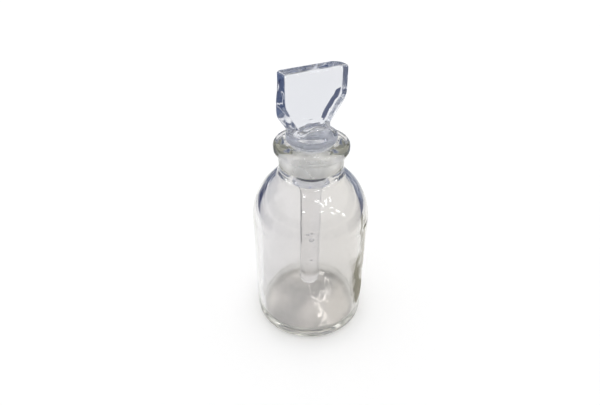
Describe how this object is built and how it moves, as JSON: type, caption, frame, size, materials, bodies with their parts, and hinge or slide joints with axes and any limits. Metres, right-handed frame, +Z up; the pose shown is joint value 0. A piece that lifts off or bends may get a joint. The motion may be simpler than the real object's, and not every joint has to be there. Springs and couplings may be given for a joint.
{
  "type": "reagent bottle",
  "caption": "Small clear-glass reagent bottle with a rounded shoulder, a flanged lip and a ground-in flat-head stopper that carries a dip rod.",
  "frame": {"origin": "middle of the flat ring that the bottle stands on, at the bottom of the whole object's box", "axes": "+Z up along the axis of the bottle, stopper and rod; +X along the width of the stopper's flat head at rest"},
  "size_m": [0.037, 0.037, 0.0875],
  "materials": {
    "bottle_glass": "clear blown glass, faintly green where it is thick, with a finely ground bore",
    "stopper_glass": "clear pressed glass, faintly blue where it is thick, with a finely ground plug",
    "rod_glass": "clear drawn glass, fire-polished tip, a few small bubbles"
  },
  "bodies": {
    "bottle_body": {"bottle": "bottle_glass"},
    "rod_body": {"dip_rod": "rod_glass"},
    "stopper_body": {"stopper": "stopper_glass"}
  },
  "joints": [
    {"name": "stopper_lift", "type": "slide", "parent": "bottle_body", "child": "rod_body", "axis": [0, 0, 1], "range_m": [0, 0.062]},
    {"name": "stopper_turn", "type": "hinge", "parent": "rod_body", "child": "stopper_body", "pos_m": [0, 0, 0.0661], "axis": [0, 0, 1], "continuous": true}
  ]
}
